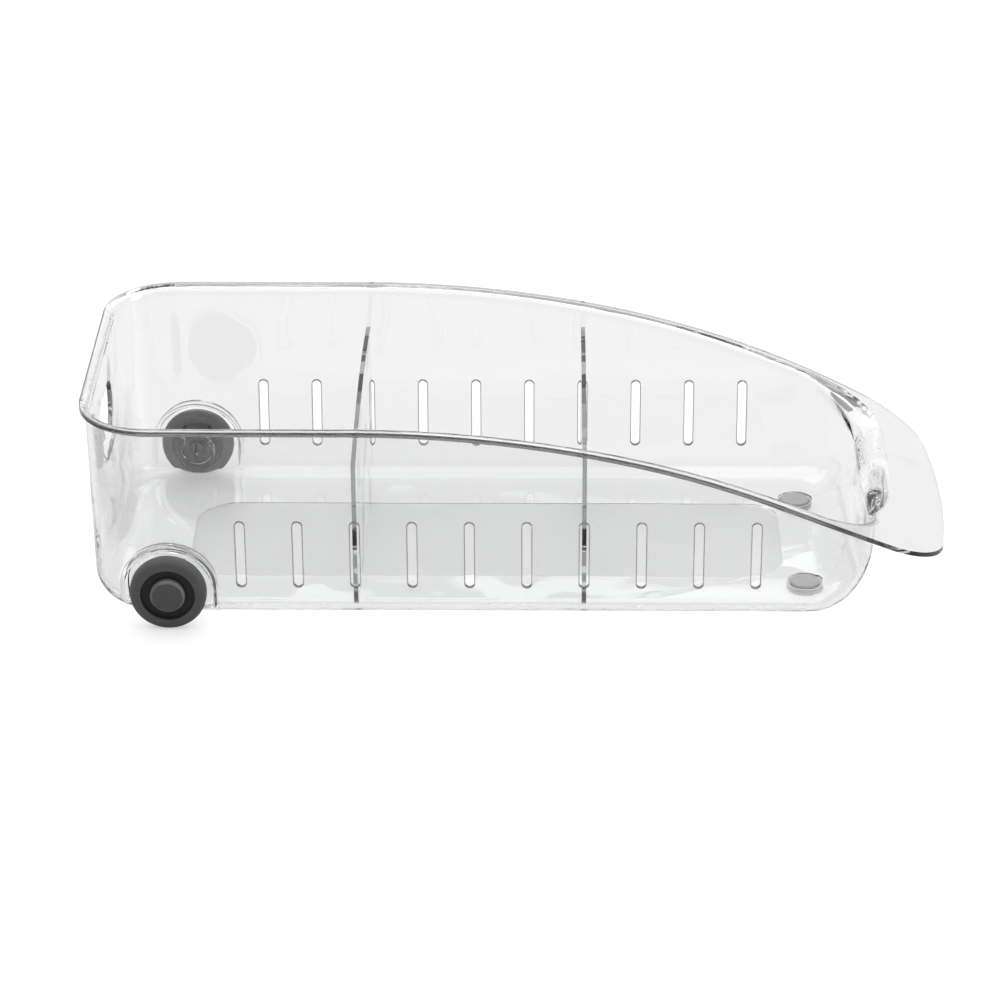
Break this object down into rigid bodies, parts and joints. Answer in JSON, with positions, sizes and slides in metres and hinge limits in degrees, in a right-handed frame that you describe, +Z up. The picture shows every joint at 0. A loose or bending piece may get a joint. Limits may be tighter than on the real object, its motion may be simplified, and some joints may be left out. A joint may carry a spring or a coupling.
{
  "type": "rolling fridge bin",
  "caption": "Clear open-topped drawer bin with a drooping pull lip, rear wheels, front rubber feet and lift-out dividers in side slots.",
  "frame": {"origin": "middle of the bin on the shelf: the bottom centre of the overall box", "axes": "+X across the bin to the right of a person who pulls the lip, +Y towards the back, -Y towards the pull lip, +Z up"},
  "size_m": [0.168, 0.3882, 0.0981],
  "materials": {
    "clear_plastic": "clear, polished; matt panel in the floor",
    "tyre_rubber": "matt dark grey",
    "hub_plastic": "satin near-black",
    "pin_plastic": "satin dark grey",
    "foot_rubber": "matt grey"
  },
  "bodies": {
    "tub": {"bin": "clear_plastic", "axle_pin_left": "pin_plastic", "axle_pin_right": "pin_plastic", "rubber_foot_left": "foot_rubber", "rubber_foot_right": "foot_rubber"},
    "wheel_left": {"tyre_left": "tyre_rubber", "wheel_hub_left": "hub_plastic"},
    "wheel_right": {"tyre_right": "tyre_rubber", "wheel_hub_right": "hub_plastic"},
    "divider_rear": {"divider_rear": "clear_plastic"},
    "divider_front": {"divider_front": "clear_plastic"}
  },
  "joints": [
    {"name": "wheel_left_spin", "type": "hinge", "parent": "tub", "child": "wheel_left", "pos_m": [-0.0783, 0.1554, 0.01715], "axis": [1, 0, 0], "continuous": true},
    {"name": "wheel_right_spin", "type": "hinge", "parent": "tub", "child": "wheel_right", "pos_m": [0.0783, 0.1554, 0.01715], "axis": [1, 0, 0], "continuous": true},
    {"name": "divider_rear_lift", "type": "slide", "parent": "tub", "child": "divider_rear", "axis": [0, 0, 1], "range_m": [0, 0.0034]},
    {"name": "divider_front_lift", "type": "slide", "parent": "tub", "child": "divider_front", "axis": [0, 0, 1], "range_m": [0, 0.0034]}
  ]
}
